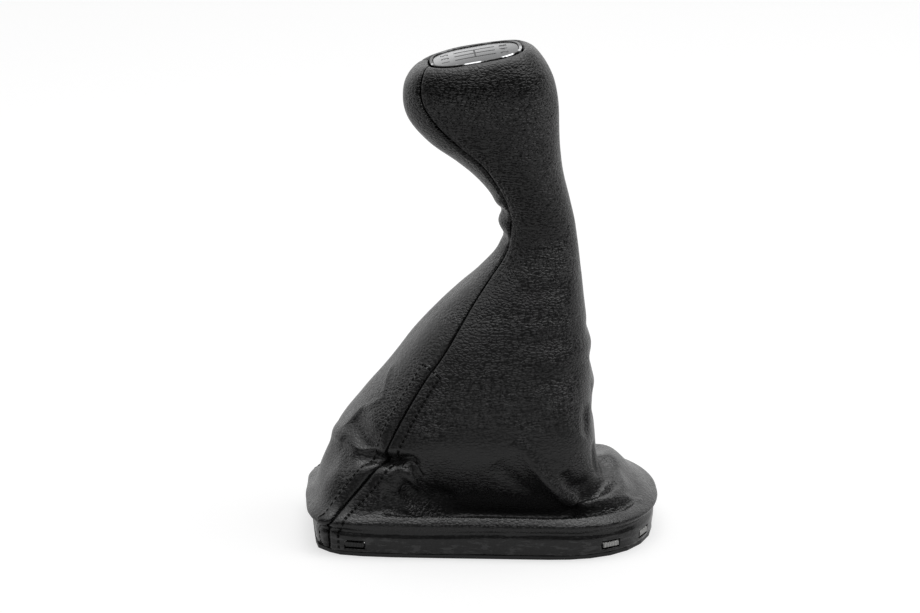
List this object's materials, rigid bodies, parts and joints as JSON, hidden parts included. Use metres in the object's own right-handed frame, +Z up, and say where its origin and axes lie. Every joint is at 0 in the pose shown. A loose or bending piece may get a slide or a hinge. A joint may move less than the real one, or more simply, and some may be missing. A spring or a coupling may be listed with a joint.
{
  "type": "gear lever gaiter with knob",
  "caption": "Leather gear lever gaiter sewn in one sleeve with its knob, folded round the lever and clipped to the console by a plastic frame with spring clips.",
  "frame": {"origin": "under the middle of the snap-in frame, in the plane of the frame's underside", "axes": "+Z up along the lever, -X towards the front of the car, where the knob leans, +Y to the far side of the picture"},
  "size_m": [0.1603, 0.1107, 0.2236],
  "materials": {
    "leather": "grained, satin black",
    "tape": "woven, matt black",
    "core_plastic": "moulded",
    "black_plastic": "fine grain, satin",
    "chrome_trim": "polished, darkened by use",
    "silver_plate": "satin silver",
    "spring_steel": "bright zinc"
  },
  "bodies": {
    "root": {"side_panel": "leather", "front_panel": "leather", "seam_tape_near": "tape", "seam_tape_far": "tape", "knob_core": "core_plastic", "cap_tray": "black_plastic", "cap_bezel": "chrome_trim", "cap_plate": "silver_plate", "stem_tube": "black_plastic", "stem_clamp": "spring_steel", "base_frame": "black_plastic", "spring_clip_front_near": "spring_steel", "spring_clip_front_far": "spring_steel", "spring_clip_back_near": "spring_steel", "spring_clip_back_far": "spring_steel", "spring_clip_end_near": "spring_steel", "spring_clip_end_far": "spring_steel"}
  },
  "joints": []
}
